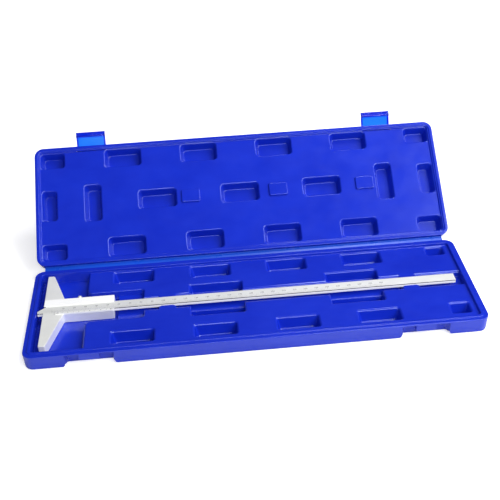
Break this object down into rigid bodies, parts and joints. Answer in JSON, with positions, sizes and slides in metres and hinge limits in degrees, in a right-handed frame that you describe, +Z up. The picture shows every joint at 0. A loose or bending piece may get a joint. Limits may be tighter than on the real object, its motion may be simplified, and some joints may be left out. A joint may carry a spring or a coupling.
{
  "type": "depth gauge",
  "caption": "Vernier depth gauge with a T-shaped bridge and a long graduated beam, lying in its fitted moulded plastic case with a hinged lid and snap latches.",
  "frame": {"origin": "centre of the case base's flat underside, on the surface it stands on", "axes": "+X along the case and the beam, from the bridge to the beam's far end; +Y from the latches to the hinge; +Z up, out of the open tray"},
  "size_m": [0.403, 0.2396, 0.0995],
  "materials": {
    "case_plastic": "satin blow-moulded polyethylene, fine mould grain",
    "hinge_plastic": "thin, slightly clear polyethylene web",
    "latch_plastic": "glossy, slightly clear polypropylene",
    "satin_chrome": "satin chrome plate on hardened steel",
    "bright_steel": "fine ground, bright",
    "screw_steel": "nickel-plated",
    "gib_bronze": "rolled phosphor bronze"
  },
  "bodies": {
    "case_base": {"case_base": "case_plastic"},
    "hinge_web": {"hinge_strip": "hinge_plastic"},
    "case_lid": {"case_lid": "case_plastic"},
    "latch_left": {"latch_left": "latch_plastic"},
    "latch_right": {"latch_right": "latch_plastic"},
    "gauge": {"gauge_frame": "satin_chrome", "guide_plate": "bright_steel", "guide_plate_screws": "screw_steel", "vernier_plate": "satin_chrome", "vernier_screws": "screw_steel", "gib_strip": "gib_bronze", "gib_screws": "screw_steel"},
    "beam": {"beam": "satin_chrome", "beam_stop_pin": "screw_steel"},
    "clamp_screw": {"clamp_screw": "bright_steel"}
  },
  "joints": [
    {"name": "strip_hinge", "type": "hinge", "parent": "case_base", "child": "hinge_web", "pos_m": [0, 0.0621, 0.00945], "axis": [1, 0, 0], "range_deg": [-18.83, 71.17]},
    {"name": "lid_hinge", "type": "hinge", "parent": "hinge_web", "child": "case_lid", "pos_m": [0, 0.06996, 0.01213], "axis": [1, 0, 0], "range_deg": [-18.83, 71.17]},
    {"name": "latch_left_hinge", "type": "hinge", "parent": "case_lid", "child": "latch_left", "pos_m": [-0.1451, 0.16633, 0.08531], "axis": [1, 0, 0], "range_deg": [-57, 63]},
    {"name": "latch_right_hinge", "type": "hinge", "parent": "case_lid", "child": "latch_right", "pos_m": [0.1451, 0.16633, 0.08531], "axis": [1, 0, 0], "range_deg": [-57, 63]},
    {"name": "gauge_lift", "type": "slide", "parent": "case_base", "child": "gauge", "axis": [0, 0, -1], "range_m": [-0.1, 0]},
    {"name": "beam_slide", "type": "slide", "parent": "gauge", "child": "beam", "axis": [-1, 0, 0], "range_m": [-0.006, 0.0003]},
    {"name": "clamp_turn", "type": "hinge", "parent": "gauge", "child": "clamp_screw", "pos_m": [-0.1575, 0.0158, 0.01212], "axis": [0, -1, 0], "range_deg": [-540, 90]}
  ],
  "couplings": [
    {"joint": "strip_hinge", "follows": "lid_hinge", "ratio": 1}
  ]
}
